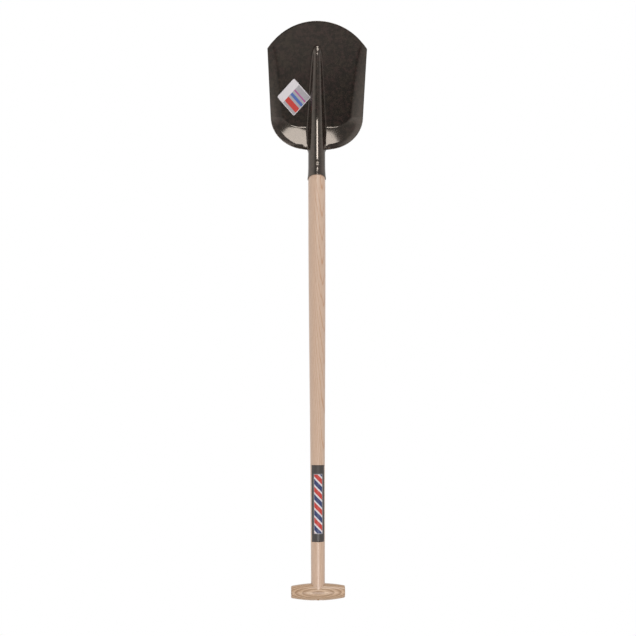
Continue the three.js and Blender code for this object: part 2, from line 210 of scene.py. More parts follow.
class FinishColours(bpy.types.PropertyGroup):
    """Colours of every finish."""

    steel: colour("Steel", "Lacquered steel as a mirror", "#635c55")
    scale: colour("Scale", "Pale clouds of scale under the lacquer", "#6a5a4c")
    scale_rosy: colour("Rosy scale", "Rosy clouds of scale", "#70534e")
    scale_dark: colour("Dark scale", "Dark clouds of scale", "#14110e")
    ash: colour("Ash", "Early wood of the shaft", "#cfb29b")
    ash_late: colour("Ash late wood", "Late wood of the shaft", "#b98a68")
    ash_pore: colour("Ash pores", "Open pores of the shaft", "#a98668")
    grip: colour("Grip", "Early wood of the grip", "#c6a584")
    grip_late: colour("Grip late wood", "Late wood of the grip", "#90663f")
    grip_pore: colour("Grip pores", "Open pores of the grip", "#7d5b40")
    wedge: colour("Wedge", "Hardwood of the wedge", "#b08c68")
    nail: colour("Nail", "Steel of the nail", "#857c72")
    silver: colour("Label silver", "Ground of the blade label", "#a5a1a4")
    white: colour("Label white", "Pale print of the labels", "#d8d2d4")
    red: colour("Label red", "Red print", "#c0392f")
    blue: colour("Label blue", "Blue print", "#4a66a6")
    lilac: colour("Label lilac", "Lilac print", "#a9528c")
    charcoal: colour("Label charcoal", "Ground of the shaft label", "#433d3a")
    navy: colour("Label navy", "Dark blue print", "#2f3a68")
    floor: colour("Floor", "Pale studio floor", "#f2f2f2")


class LightLevels(bpy.types.PropertyGroup):
    """Powers of the lamps."""

    softbox: watts("Softbox", "Power of the high softbox", 62)
    strip: watts("Strip", "Power of the strip light", 20)
    low_panel: watts("Low panel", "Power of the panel before the grip", 7)


def mix(start, end, amount):
    """start + (end - start) * amount, on whole arrays."""
    return start + (end - start) * amount


def smooth(value, low, high):
    """0 below low, 1 above high and 3t^2 - 2t^3 between them."""
    t = np.clip((value - low) / (high - low), 0, 1)
    return t * t * (3 - 2 * t)


def shares(count, first=0):
    """Equal steps along a stretch as shares of it: from 0 up to the last but one, or with first 1 up to 1."""
    return np.arange(first, count + first) / count


def grid_points(x, y, z):
    """Points of a grid from its x, y and z, each given for all of it, for one row or for one column."""
    return np.stack(np.broadcast_arrays(x, y, z), axis=-1)


def around_shaft(radius, angle, z):
    """Points at a radius r and an angle a round the shaft's axis: x = r sin a and y = -r cos a."""
    return grid_points(radius * np.sin(angle), -radius * np.cos(angle), z)


def grid_faces(rows, columns, closed_across=False):
    """Quads of a grid of points, row by row, joined round its columns where it is closed across."""
    row, column = np.meshgrid(np.arange(rows - 1), np.arange(columns - (not closed_across)), indexing="ij")
    here, below = row * columns, (row + 1) * columns
    after = (column + 1) % columns
    return np.stack([here + column, below + column, below + after, here + after], axis=-1).reshape(-1, 4)


def close_poles(points):
    """Points and faces of rings, of which the first and the last are each drawn together to one point."""
    rings, columns = points.shape[:2]
    body = points[1:-1].reshape(-1, 3)
    around = np.arange(columns)
    after = (around + 1) % columns
    last_ring = (rings - 3) * columns
    first_pole = np.full(columns, len(body))
    faces = grid_faces(rings - 2, columns, closed_across=True).tolist()
    faces += np.stack([first_pole, around, after], axis=-1).tolist()
    faces += np.stack([last_ring + after, last_ring + around, first_pole + 1], axis=-1).tolist()
    return join([body, points[[0, -1]].mean(axis=1)]), faces


def closed_sheet(points, fullness, thickness, lift=0.0):
    """Points and faces of a closed sheet round a surface: its outer face is the surface moved out by the
    lift, its inner face lies a thickness behind, and both meet halfway where the fullness is 0. The surface's
    normal is the step down its rows crossed with the step along its columns."""
    rows, columns = fullness.shape
    normals = np.cross(np.gradient(points, axis=0), np.gradient(points, axis=1))
    normals /= np.linalg.norm(normals, axis=-1, keepdims=True)
    swell = (fullness * thickness / 2)[..., None]
    middle = points + normals * (lift - thickness / 2)
    outer = (middle + normals * swell).reshape(-1, 3)
    inner = (middle - normals * swell).reshape(-1, 3)
    faces = grid_faces(rows, columns)
    point = np.arange(rows * columns)
    row, column = np.divmod(point, columns)
    rim = (row == 0) | (row == rows - 1) | (column == 0) | (column == columns - 1)
    mates = np.where(rim, point, len(point) + np.cumsum(~rim) - 1)
    return join([outer, inner[~rim]]), join([faces, mates[faces[:, ::-1]]])


def add_object(name, data):
    """An object for a mesh, a lamp or a camera, linked to the scene."""
    new = bpy.data.objects.new(name, data)
    bpy.context.scene.collection.objects.link(new)
    return new


def add_mesh(name, points, faces):
    """A mesh object from a grid or a list of points and from its faces."""
    mesh = bpy.data.meshes.new(name)
    mesh.from_pydata(points.reshape(-1, 3), [], faces)
    mesh.validate()
    return add_object(name, mesh)


def make_piece(name, points, faces, material, uv=None):
    """A smooth mesh object in its finish that rides on the spade's body. A UV for each point is optional."""
    piece = add_mesh(name, points, faces)
    mesh = piece.data
    mesh.materials.append(material)
    if uv is not None:
        corners = np.empty(len(mesh.loops), dtype=np.int32)
        mesh.loops.foreach_get("vertex_index", corners)
        layer = mesh.uv_layers.new(name="print")
        layer.data.foreach_set("uv", uv.reshape(-1, 2)[corners].ravel())
    mesh.shade_smooth()
    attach(piece, "root")
    return piece


def node(tree, kind, inputs=None, **settings):
    """Adds a shader node, sets its properties, and fills or links its inputs by name or number. A node that
    is given as an input is linked by the first of its outputs in use."""
    new = tree.nodes.new("ShaderNode" + kind)
    for name, value in settings.items():
        setattr(new, name, value)
    for key, value in (inputs or {}).items():
        if isinstance(value, bpy.types.Node):
            value = next(output for output in value.outputs if output.enabled)
        if isinstance(value, bpy.types.NodeSocket):
            tree.links.new(value, new.inputs[key])
        else:
            new.inputs[key].default_value = value
    return new


def ramp(tree, angle, limit, stops):
    """A level that follows an angle, up to a limit of degrees each way, by stops of (degrees, level)."""
    end = np.radians(limit)
    part = node(tree, "MapRange", {"Value": angle, "From Min": -end, "From Max": end})
    new = node(tree, "ValToRGB", {"Fac": part})
    elements = new.color_ramp.elements
    while len(elements) < len(stops):
        elements.new(1.0)
    for element, (place, level) in zip(elements, stops):
        element.position = (place + limit) / (2 * limit)
        element.color = (level, level, level, 1)
    return new


def new_material(name, coordinates="Object"):
    """A material with an empty node tree, that tree, and the coordinates that its patterns follow."""
    material = bpy.data.materials.new(name)
    material.use_nodes = True
    tree = material.node_tree
    tree.nodes.clear()
    return material, tree, node(tree, "TexCoord").outputs[coordinates]


def lacquered_steel():
    """Clear-lacquered, heat-darkened pressed steel. The metal and its lacquer mirror the studio evenly and
    darkly. A thin brown rolling scale between them scatters a little light, in faint clouds that are partly
    rosy and in grit that is drawn coarser than the real one to show. A dipped coat's ripple lies over all."""
    colours = bpy.context.scene.spade_colours
    heat_size, cloud_size, grit_size = 28 * MM, 9 * MM, 1.6 * MM
    ripple_size, ripple_depth = 2.2 * MM, 0.06 * MM
    cloud_share, grit_share, scale_share = 0.55, 0.45, 0.135
    material, tree, place = new_material("clear_lacquer_on_dark_pressed_steel")
    heat = node(tree, "TexNoise", {"Vector": place, "Scale": 1 / heat_size, "Detail": 2.0})
    clouds = node(tree, "TexNoise", {
        "Vector": place, "Scale": 1 / cloud_size, "Detail": 3.0, "Roughness": 0.6})
    grit = node(tree, "TexNoise", {
        "Vector": place, "Scale": 1 / grit_size, "Detail": 2.0, "Roughness": 0.7})
    ripple = node(tree, "TexNoise", {"Vector": place, "Scale": 1 / ripple_size, "Detail": 1.0})
    blotch = node(tree, "Math", {0: clouds, 1: cloud_share}, operation="MULTIPLY")
    speckle = node(tree, "Math", {0: grit, 1: grit_share, 2: blotch}, operation="MULTIPLY_ADD")
    rosy = node(tree, "MapRange", {
        "Value": heat, "From Min": 0.4, "From Max": 0.6}, interpolation_type="SMOOTHSTEP")
    amount = node(tree, "MapRange", {
        "Value": speckle, "From Min": 0.43, "From Max": 0.57}, interpolation_type="SMOOTHSTEP")
    pale = node(tree, "Mix", {"Factor": rosy, "A": colours.scale, "B": colours.scale_rosy}, data_type="RGBA")
    tint = node(tree, "Mix", {"Factor": amount, "A": colours.scale_dark, "B": pale}, data_type="RGBA")
    scale = node(tree, "BsdfDiffuse", {"Color": tint})
    gloss = node(tree, "MapRange", {
        "Value": speckle, "From Min": 0.35, "From Max": 0.65, "To Min": 0.15, "To Max": 0.11})
    bump = node(tree, "Bump", {"Height": ripple, "Strength": 0.12, "Distance": ripple_depth})
    metal = node(tree, "BsdfPrincipled", {
        "Base Color": colours.steel, "Metallic": 1.0, "Roughness": gloss, "Coat Weight": 0.5,
        "Coat Roughness": 0.12, "Normal": bump})
    shader = node(tree, "MixShader", {"Fac": scale_share, 1: metal, 2: scale})
    node(tree, "OutputMaterial", {"Surface": shader})
    return material


def drawn_out(tree, place, grain_axis, across, along, detail):
    """Noise in patches that have one size across the grain and a longer one along it."""
    scale = [1 / across] * 3
    scale[grain_axis] = 1 / along
    stretched = node(tree, "Mapping", {"Vector": place, "Scale": scale})
    return node(tree, "TexNoise", {"Vector": stretched, "Scale": 1.0, "Detail": detail})


def turned_wood(name, tones, pith, bark, spacing, growth, late_start, wobble, lean, grain_axis):
    """Turned wood under a thin clear lacquer. The rings are shells round a pith that lies well off the piece,
    so the surface cuts them into long ovals and flames. They are counted inwards from the bark and widen with
    the growth share, and the pith leans. Each ring darkens smoothly and ends abruptly. Open pores lie as
    short dark dashes along the grain. Fibres and pores are drawn wider than the real ones, which are finer
    than 0.3 mm, to show."""
    early, late, pore = tones
    late_full, ring_end, late_tone, pore_tone, pore_depth = 0.92, 0.93, 0.8, 0.45, 0.08 * MM
    material, tree, place = new_material(name)
    across_grain = [1, 1, 1]
    across_grain[grain_axis] = 0
    centred = node(tree, "VectorMath", {0: place, 1: [-value for value in pith]}, operation="ADD")
    leaning = node(tree, "Mapping", {"Vector": centred, "Rotation": (lean, 0, 0)})
    across = node(tree, "VectorMath", {0: leaning, 1: across_grain}, operation="MULTIPLY")
    radius = node(tree, "VectorMath", {0: across}, operation="LENGTH")
    depth = node(tree, "Math", {0: bark, 1: radius}, operation="SUBTRACT")
    sway = drawn_out(tree, place, grain_axis, across=22 * MM, along=260 * MM, detail=3.0)
    swayed = node(tree, "Math", {0: sway, 1: wobble, 2: depth}, operation="MULTIPLY_ADD")
    even_ring = node(tree, "Math", {0: swayed, 1: spacing}, operation="DIVIDE")
    ring = node(tree, "Math", {0: even_ring, 1: growth}, operation="POWER")
    phase = node(tree, "Math", {0: ring}, operation="FRACT")
    late_wood = node(tree, "MapRange", {
        "Value": phase, "From Min": late_start, "From Max": late_full}, interpolation_type="SMOOTHSTEP")
    ring_edge = node(tree, "MapRange", {
        "Value": phase, "From Min": ring_end, "From Max": 1.0, "To Min": late_tone, "To Max": 0.0})
    band = node(tree, "Math", {0: late_wood, 1: ring_edge}, operation="MULTIPLY")
    fibre = drawn_out(tree, place, grain_axis, across=0.7 * MM, along=30 * MM, detail=2.0)
    streak = node(tree, "MapRange", {
        "Value": fibre, "From Min": 0.3, "From Max": 0.7, "To Min": -0.12, "To Max": 0.24})
    tone = node(tree, "Math", {0: band, 1: streak}, operation="ADD", use_clamp=True)
    wood = node(tree, "Mix", {"Factor": tone, "A": early, "B": late}, data_type="RGBA")
    dash = drawn_out(tree, place, grain_axis, across=0.5 * MM, along=9 * MM, detail=1.0)
    open_pore = node(tree, "MapRange", {
        "Value": dash, "From Min": 0.58, "From Max": 0.7}, interpolation_type="SMOOTHSTEP")
    stain = node(tree, "Math", {0: open_pore, 1: pore_tone}, operation="MULTIPLY")
    stained = node(tree, "Mix", {"Factor": stain, "A": wood, "B": pore}, data_type="RGBA")
    gloss = node(tree, "MapRange", {"Value": tone, "To Min": 0.5, "To Max": 0.4})
    relief = node(tree, "Math", {0: fibre, 1: open_pore}, operation="SUBTRACT")
    bump = node(tree, "Bump", {"Height": relief, "Strength": 0.3, "Distance": pore_depth})
    shader = node(tree, "BsdfPrincipled", {
        "Base Color": stained, "Roughness": gloss, "IOR": 1.5, "Coat Weight": 0.9, "Coat IOR": 1.55,
        "Coat Roughness": 0.3, "Normal": bump})
    node(tree, "OutputMaterial", {"Surface": shader})
    return material


def ash_wood():
    """Turned and sanded ash: straight pale grain with long flames on the front."""
    colours = bpy.context.scene.spade_colours
    return turned_wood(
        "sanded_ash_with_clear_lacquer", (colours.ash, colours.ash_late, colours.ash_pore),
        pith=(-38 * MM, 65 * MM, 0), bark=180 * MM, spacing=3.2 * MM, growth=1.0, late_start=0.7,
        wobble=8 * MM, lean=np.radians(3.8), grain_axis=2)


def grip_wood():
    """The turned grip: its rings lie almost flat across its thickness, so the barrel cuts long ovals."""
    colours = bpy.context.scene.spade_colours
    depth = bpy.context.scene.spade_handle.grip
    return turned_wood(
        "turned_hardwood_with_clear_lacquer", (colours.grip, colours.grip_late, colours.grip_pore),
        pith=(0, 260 * MM, -depth), bark=278.55 * MM, spacing=1.02 * MM, growth=0.7, late_start=0.2,
        wobble=0.3 * MM, lean=0.0, grain_axis=0)


def wedge_wood():
    """Sawn hardwood wedge: one dark tone with fine fibres that run up the shaft."""
    colours = bpy.context.scene.spade_colours
    material, tree, place = new_material("sawn_hardwood")
    fibre = drawn_out(tree, place, grain_axis=2, across=0.6 * MM, along=12 * MM, detail=3.0)
    tone = node(tree, "Mix", {"Factor": fibre, "A": colours.wedge, "B": colours.grip_late}, data_type="RGBA")
    shader = node(tree, "BsdfPrincipled", {"Base Color": tone, "Roughness": 0.6})
    node(tree, "OutputMaterial", {"Surface": shader})
    return material


def nail_steel():
    """Bright drawn steel nail under the same clear lacquer, with small hammer marks."""
    colours = bpy.context.scene.spade_colours
    mark_size, mark_depth = 1.5 * MM, 0.25 * MM
    material, tree, place = new_material("lacquered_steel_nail")
    marks = node(tree, "TexNoise", {"Vector": place, "Scale": 1 / mark_size, "Detail": 2.0})
    bump = node(tree, "Bump", {"Height": marks, "Strength": 0.8, "Distance": mark_depth})
    shader = node(tree, "BsdfPrincipled", {
        "Base Color": colours.nail, "Metallic": 0.95, "Roughness": 0.3, "Coat Weight": 0.3, "Normal": bump})
    node(tree, "OutputMaterial", {"Surface": shader})
    return material


def printed(tree, ground, ink, *bands):
    """A ground with an ink on it where every value lies within its limits, given as (value, limits)."""
    mask = 1.0
    for value, (low, high) in bands:
        inside = node(tree, "Math", {0: value, 1: (low + high) / 2, 2: (high - low) / 2}, operation="COMPARE")
        mask = node(tree, "Math", {0: mask, 1: inside}, operation="MULTIPLY")
    return node(tree, "Mix", {"Factor": mask, "A": ground, "B": ink}, data_type="RGBA")


def blade_print(tree, colours, across, up):
    """A silver ground with three parallel stripes and a pale end, inside a pale border. The film's UV runs
    from the foot along the two lower edges, so every band lies parallel to an edge."""
    inside, pale_end = (0.035, 0.965), (0.68, 1.0)
    stripes = ((0.14, 0.36), colours.red), ((0.46, 0.58), colours.blue), ((0.68, 0.74), colours.lilac)
    ink = colours.silver
    for limits, tone in stripes:
        ink = printed(tree, ink, tone, (across, limits))
    ink = printed(tree, ink, colours.white, (up, pale_end))
    return printed(tree, colours.white, ink, (across, inside), (up, inside))


def shaft_print(tree, colours, across, up):
    """A charcoal ground with one long panel, where slanting bars of dark blue, white and red take turns
    inside a thin silver outline."""
    outline, panel = ((0.2, 0.82), (0.105, 0.885)), ((0.235, 0.785), (0.112, 0.878))
    turns, navy_bar, red_bar = 5.0, (0.0, 0.36), (0.5, 0.86)
    slant = node(tree, "Math", {0: up, 1: turns, 2: across}, operation="MULTIPLY_ADD")
    phase = node(tree, "Math", {0: slant}, operation="FRACT")
    bars = printed(tree, colours.white, colours.navy, (phase, navy_bar))
    bars = printed(tree, bars, colours.red, (phase, red_bar))
    ink = colours.charcoal
    for (across_limits, up_limits), tone in ((outline, colours.silver), (panel, bars)):
        ink = printed(tree, ink, tone, (across, across_limits), (up, up_limits))
    return ink


def printed_film(name, draw, roughness):
    """Satin printed film. A function draws its print over the film's own UV map, from 0 to 1 both ways."""
    material, tree, place = new_material(name, "UV")
    split = node(tree, "SeparateXYZ", {0: place})
    ink = draw(tree, bpy.context.scene.spade_colours, split.outputs["X"], split.outputs["Y"])
    shader = node(tree, "BsdfPrincipled", {
        "Base Color": ink, "Roughness": roughness, "Coat Weight": 0.3, "Coat Roughness": 0.2})
    node(tree, "OutputMaterial", {"Surface": shader})
    return material


def corner_height(blade):
    """Z of the nose's corners, where the tip's arc has the corners' half width."""
    return blade.tip - blade.tip_radius + np.sqrt(blade.tip_radius ** 2 - blade.corner ** 2)


def side_half_width(blade, z):
    """Straight from the half width at the heel to the half width at the corners."""
    return mix(blade.heel, blade.corner, (z - blade.shoulder) / (corner_height(blade) - blade.shoulder))


def pan_depth(blade, x, z):
    """Y of the dished floor: a leaning plane with half a sine of sag along it and a parabola across it, less
    a wall that climbs as a power of the way from its foot to the rim, less a lip over the last of it."""
    floor = blade.floor_depth - z * np.tan(blade.lift)
    floor = floor + blade.sag * np.sin(np.pi * np.clip(z / blade.tip, 0, 1))
    floor = floor - blade.cross_sag * (x / blade.corner) ** 2
    outer = side_half_width(blade, np.maximum(z, blade.shoulder)) - blade.inner
    across = np.maximum(x - blade.inner, 0) / outer
    along = np.maximum(blade.shoulder - z, 0) / blade.shoulder
    rim = np.minimum(np.hypot(across, along), 1)
    corner_z = corner_height(blade)
    heelwards = np.clip((corner_z - z) / (corner_z - blade.shoulder), 0, 1)
    downwards = np.sin(np.arctan2(along, across))
    side_height = mix(blade.corner_wall, blade.side_wall, heelwards)
    side_share = mix(blade.corner_wall_share, blade.side_wall_share, np.sqrt(heelwards))
    wall_height = mix(side_height, blade.heel_wall, downwards)
    wall_share = mix(side_share, blade.heel_wall_share, downwards)
    climb = np.maximum(1 - (1 - rim) / wall_share, 0)
    lip = np.maximum((rim - blade.lip_share) / (1 - blade.lip_share), 0)
    lip_height = mix(blade.side_lip * heelwards, blade.heel_lip, downwards)
    return floor - wall_height * climb ** blade.wall_power - lip_height * lip ** blade.lip_power


def rib_section(blade, distance, height, crest_radius):
    """How far a rib's section lies below its crest, and where its foot is: an arc to the flank's slope, the
    straight flank, and a hollow fillet down to the floor. A low rib turns as far as its height allows."""
    both = crest_radius + blade.rib_fillet
    turn = np.minimum(blade.rib_steepest, np.arccos(np.clip(1 - height / both, -1, 1)))
    flank = np.maximum(height - both * (1 - np.cos(turn)), 0) / np.sin(turn)
    crest_end = crest_radius * np.sin(turn)
    flank_end = crest_end + flank * np.cos(turn)
    foot = flank_end + blade.rib_fillet * np.sin(turn)
    arc = crest_radius - np.sqrt(np.maximum(crest_radius ** 2 - distance ** 2, 0))
    straight = crest_radius * (1 - np.cos(turn)) + (distance - crest_end) * np.tan(turn)
    within = np.maximum(foot - distance, 0)
    fillet = height - blade.rib_fillet + np.sqrt(np.maximum(blade.rib_fillet ** 2 - within ** 2, 0))
    return np.where(distance < crest_end, arc, np.where(distance < flank_end, straight, fillet)), foot


def bend_reach(blade, z):
    """A hinge rounded as a hyperbola: near 0 up to the rib's bend, and twice the way past it from there."""
    past = z - blade.rib_bend
    start = np.hypot(blade.rib_bend + blade.neck, blade.rib_bend_length) - blade.rib_bend - blade.neck
    return past + np.hypot(past, blade.rib_bend_length) - start


def rib_height(blade, z):
    """Height of the crest over the floor: the crest follows the shaft's line up to the bend and then a
    straight line to its end."""
    end_y = pan_depth(blade, 0.0, blade.rib) - blade.rib_nose
    crest = mix(-blade.socket, end_y, bend_reach(blade, z) / bend_reach(blade, blade.rib))
    return np.maximum(pan_depth(blade, 0.0, z) - crest, blade.rib_nose)


def blade_depth(blade, x, z):
    """Y of the hollow side: the pan, less a rib whose crest runs from the socket's front to a round nose,
    blended into the socket's circle at the neck."""
    x = np.abs(x)
    nose_z = blade.rib - blade.rib_nose_length
    nose_foot = rib_section(blade, 0.0, rib_height(blade, nose_z), blade.rib_nose_radius)[1]
    distance = np.hypot(x, np.maximum(z - nose_z, 0) * nose_foot / blade.rib_nose_length)
    down_rib = np.clip((z + blade.neck) / (nose_z + blade.neck), 0, 1)
    crest_radius = mix(blade.socket, blade.rib_nose_radius, down_rib)
    height = rib_height(blade, z)
    ribbed = pan_depth(blade, x, z) - height + rib_section(blade, distance, height, crest_radius)[0]
    tube = -np.sqrt(np.maximum(blade.socket ** 2 - x ** 2, 0))
    along = 1 - smooth(z, -blade.neck, blade.blend_length)
    across = 1 - smooth(x, blade.socket, blade.socket + blade.blend_width)
    return mix(ribbed, tube, along * across)


def flare_at(blade, z):
    """Growth of the socket's radius: the flare times the square of the way from the throat's end on."""
    top_z = -blade.neck - blade.throat
    return blade.flare * (np.maximum(top_z - z, 0) / (blade.mouth + top_z)) ** 2


def sheet_columns():
    """Columns from the middle of the sheet to its edge: the way over the rib, the way on to the rim, the way
    as even steps, and how far each column reaches over the rounded edge and how full the sheet is there."""
    half_columns, rib_share, wall_crowding = 76, 0.5, 0.75
    steps = np.arange(half_columns + 1) / half_columns
    inwards = np.minimum(steps / rib_share, 1)
    outwards = np.maximum((steps - rib_share) / (1 - rib_share), 0)
    outwards = outwards - wall_crowding * np.sin(2 * np.pi * outwards) / (2 * np.pi)
    ways = [join([way, np.ones(len(EDGE_REACH))]) for way in (inwards, outwards, steps)]
    return *ways, join([np.zeros(len(steps)), EDGE_REACH]), join([np.ones(len(steps)), EDGE_FULL])


def pan_rows(blade, inwards, outwards, reach):
    """Points of the right half of the blade from the tip to the neck, and how full each row is. A row's x
    goes out over the rib, the floor and the wall, its y is blade_depth, and it bows as the tip's arc."""
    side_rows, shoulder_rows, neck_rows = 88, 56, 8
    rib_foot_share, widest_rib_share = 1.35, np.sqrt(0.5)
    heel_rows, edge = shoulder_rows + neck_rows, blade.sheet / 2
    down = join([np.zeros(len(EDGE_REACH)), shares(side_rows)])
    side_z = mix(corner_height(blade), blade.shoulder, down)
    heel = np.pi / 2 * shares(shoulder_rows)
    shoulder_half = mix(blade.inner, blade.heel, np.cos(heel))
    shoulder_z = blade.shoulder * (1 - np.sin(heel))
    fillet = np.pi / 2 * shares(neck_rows)
    neck_half = mix(blade.inner, blade.socket, np.sin(fillet))
    neck_z = -blade.neck * (1 - np.cos(fillet))

    half = join([side_half_width(blade, side_z), shoulder_half, neck_half])[:, None]
    base_z = join([side_z, shoulder_z, neck_z])[:, None]
    bow = join([1 - down, np.zeros(heel_rows)])[:, None]
    drop = edge * join([1 - EDGE_REACH[::-1], np.ones(side_rows), np.zeros(heel_rows)])[:, None]
    inner_half = half - edge
    split = np.minimum(rib_foot_share * blade.socket, inner_half * widest_rib_share)
    neckwards = 1 - smooth(base_z, 0, blade.shoulder)
    on_rib = split * mix(inwards, np.sin(np.pi / 2 * inwards), neckwards)
    x = on_rib + (inner_half - split) * outwards + edge * reach
    arc = np.sqrt(blade.tip_radius ** 2 - x ** 2) - np.sqrt(blade.tip_radius ** 2 - half ** 2)
    z = base_z + bow * arc - drop
    row_full = join([EDGE_FULL[::-1], np.ones(side_rows + heel_rows)])
    return grid_points(x, blade_depth(blade, x, z), z), row_full


def socket_rows(blade, nail_depth, steps, reach):
    """Points of the right half of the socket from the neck to its slanting mouth, and how full each row is. A
    row is an arc that closes round the back over the throat. The nail sits in an oval dent, whose depth goes
    as exp(-(u^2 + v^2)^2) with u and v in half widths and half heights."""
    throat_rows, tube_rows, edge = 22, 31, blade.sheet / 2
    top_z = -blade.neck - blade.throat
    edge_turn = np.pi - blade.seam / 2 / blade.socket
    throat_share = shares(throat_rows)[:, None]
    closed = np.full((tube_rows + len(EDGE_REACH), 1), edge_turn)
    turn = join([mix(np.pi / 2, edge_turn, smooth(throat_share, 0, 1)), closed])
    angle = (turn - edge / blade.socket) * steps + edge / blade.socket * reach
    throat_z = np.broadcast_to(mix(-blade.neck, top_z, throat_share), (throat_rows, len(reach)))
    down = join([np.linspace(0, 1, tube_rows), np.ones(len(EDGE_REACH))])[:, None]
    mouth_reach = join([np.zeros(tube_rows), EDGE_REACH])[:, None]
    mouth_z = blade.mouth_back * np.cos(angle[throat_rows:]) - blade.mouth
    z = join([throat_z, mix(top_z, mouth_z + edge, down) - edge * mouth_reach])
    radius = blade.socket + flare_at(blade, z)
    across_dent = radius * angle / blade.dimple_width
    along_dent = (z + nail_depth) / blade.dimple_height
    radius = radius - blade.dimple * np.exp(-(across_dent ** 2 + along_dent ** 2) ** 2)
    return around_shaft(radius, angle, z), join([np.ones(throat_rows + tube_rows), EDGE_FULL])


def sheet_surface(blade, nail_depth):
    """The pressing's outer surface as a grid, from the tip to the mouth, and how full its thickness is at
    each point. Rows run from edge to edge of the sheet. The last rows and columns before an edge follow a
    quarter circle, along which the fullness falls from 1 to 0 and rounds the edge."""
    inwards, outwards, steps, reach, column_full = sheet_columns()
    pan, pan_full = pan_rows(blade, inwards, outwards, reach)
    tube, tube_full = socket_rows(blade, nail_depth, steps, reach)
    right = join([pan, tube])
    left = right[:, :0:-1] * np.array([-1, 1, 1])
    row_full = join([pan_full, tube_full])[:, None]
    return join([left, right], axis=1), np.minimum(row_full, join([column_full[:0:-1], column_full]))


def shaft_radius(handle, z):
    """Full below the socket, eased down to the waist and once more to the end at the grip."""
    waist_depth = handle.grip - handle.waist_length
    narrowing = smooth(-z, handle.taper_start, waist_depth)
    ending = smooth(-z, waist_depth, handle.grip)
    return mix(handle.radius, handle.waist, narrowing) - (handle.waist - handle.end) * ending


def barrel_radius(handle, x):
    """Half height of the grip along its length: a parabola from the middle to the ends."""
    return mix(handle.grip_height, handle.grip_end, (2 * x / handle.grip_length) ** 2)


def on_barrel(handle, radius, side):
    """Z a fit gap over where rings round the shaft's axis meet the barrel's top, side 1, or its underside,
    side -1. Its section is an oval: rise^2 = r^2 - (y / flatness)^2."""
    x, y = radius[:, None] * np.sin(FINE_TURN), radius[:, None] * np.cos(FINE_TURN)
    flatness = handle.grip_thickness / handle.grip_height
    rise = np.sqrt(np.maximum(barrel_radius(handle, x) ** 2 - (y / flatness) ** 2, 0))
    return side * rise + handle.gap - handle.grip


def shaft_rings(blade, handle):
    """The shaft as rings round its axis, each with its radius and height: nose, dressed cone, part in the
    socket, long taper, cheeks that reach round the barrel, seat on its top, tenon and the tenon's end."""
    nose_rows, cone_rows, bore_rows, long_rows = 8, 24, 39, 159
    cheek_rows, seat_rows, tenon_rows, cap_rows = 14, 8, 7, 8
    cone_power = 1.15
    nose_angle = np.pi / 2 * shares(nose_rows)
    nose_r = handle.nose_radius * np.sin(nose_angle)
    nose_z = handle.nose - handle.nose_round * (1 - np.cos(nose_angle))
    inner = blade.socket - blade.sheet - handle.gap
    cone_share = np.linspace(0, 1, cone_rows)
    cone_r = mix(handle.nose_radius, inner, np.sin(np.pi / 2 * cone_share) ** cone_power)
    cone_z = mix(handle.nose - handle.nose_round, -blade.neck, cone_share)
    mouth_z = -blade.mouth - blade.mouth_back
    bore_z = mix(-blade.neck, mouth_z, shares(bore_rows, 1))
    bore_r = np.minimum(inner + flare_at(blade, bore_z), shaft_radius(handle, bore_z))
    cheek_z = 2 * handle.grip_height - handle.grip
    long_z = mix(mouth_z, cheek_z, shares(long_rows, 1))

    end = shaft_radius(handle, handle.grip_height - handle.grip)
    cheek_r = np.full(cheek_rows, end)
    seat_r = np.linspace(end, handle.tenon, seat_rows)
    tenon_r = np.full(tenon_rows, handle.tenon)
    cap_r = handle.tenon * (1 - shares(cap_rows, 1))
    cheek_share, tenon_share = shares(cheek_rows, 1)[:, None], shares(tenon_rows, 1)[:, None]
    rings = (
        (nose_r, nose_z),
        (cone_r, cone_z),
        (bore_r, bore_z),
        (shaft_radius(handle, long_z), long_z),
        (cheek_r, mix(cheek_z, on_barrel(handle, cheek_r, 1), cheek_share)),
        (seat_r, on_barrel(handle, seat_r, 1)),
        (tenon_r, mix(on_barrel(handle, tenon_r, 1), on_barrel(handle, tenon_r, -1), tenon_share)),
        (cap_r, on_barrel(handle, cap_r, -1)),
    )
    return join([around_shaft(r[:, None], FINE_TURN, z.reshape(len(r), -1)) for r, z in rings])


def barrel_rings(handle):
    """The grip as oval rings round X: a flat end, a quarter circle at the edge, the parabola and the same
    again in reverse."""
    flat_rows, edge_rows, long_rows = 6, 8, 72
    half = handle.grip_length / 2
    inner = half - handle.grip_edge
    angle = np.pi / 2 * shares(edge_rows)
    edge_r = barrel_radius(handle, inner) - handle.grip_edge * (1 - np.sin(angle))
    end_r = join([edge_r[0] * shares(flat_rows), edge_r])
    end_x = join([np.full(flat_rows, half), inner + handle.grip_edge * np.cos(angle)])
    long_x = np.linspace(inner, -inner, long_rows)
    x = join([end_x, long_x, -end_x[::-1]])[:, None]
    r = join([end_r, barrel_radius(handle, long_x), end_r[::-1]])[:, None]
    flatness = handle.grip_thickness / handle.grip_height
    return grid_points(x, -r * flatness * np.sin(FINE_TURN), r * np.cos(FINE_TURN) - handle.grip)


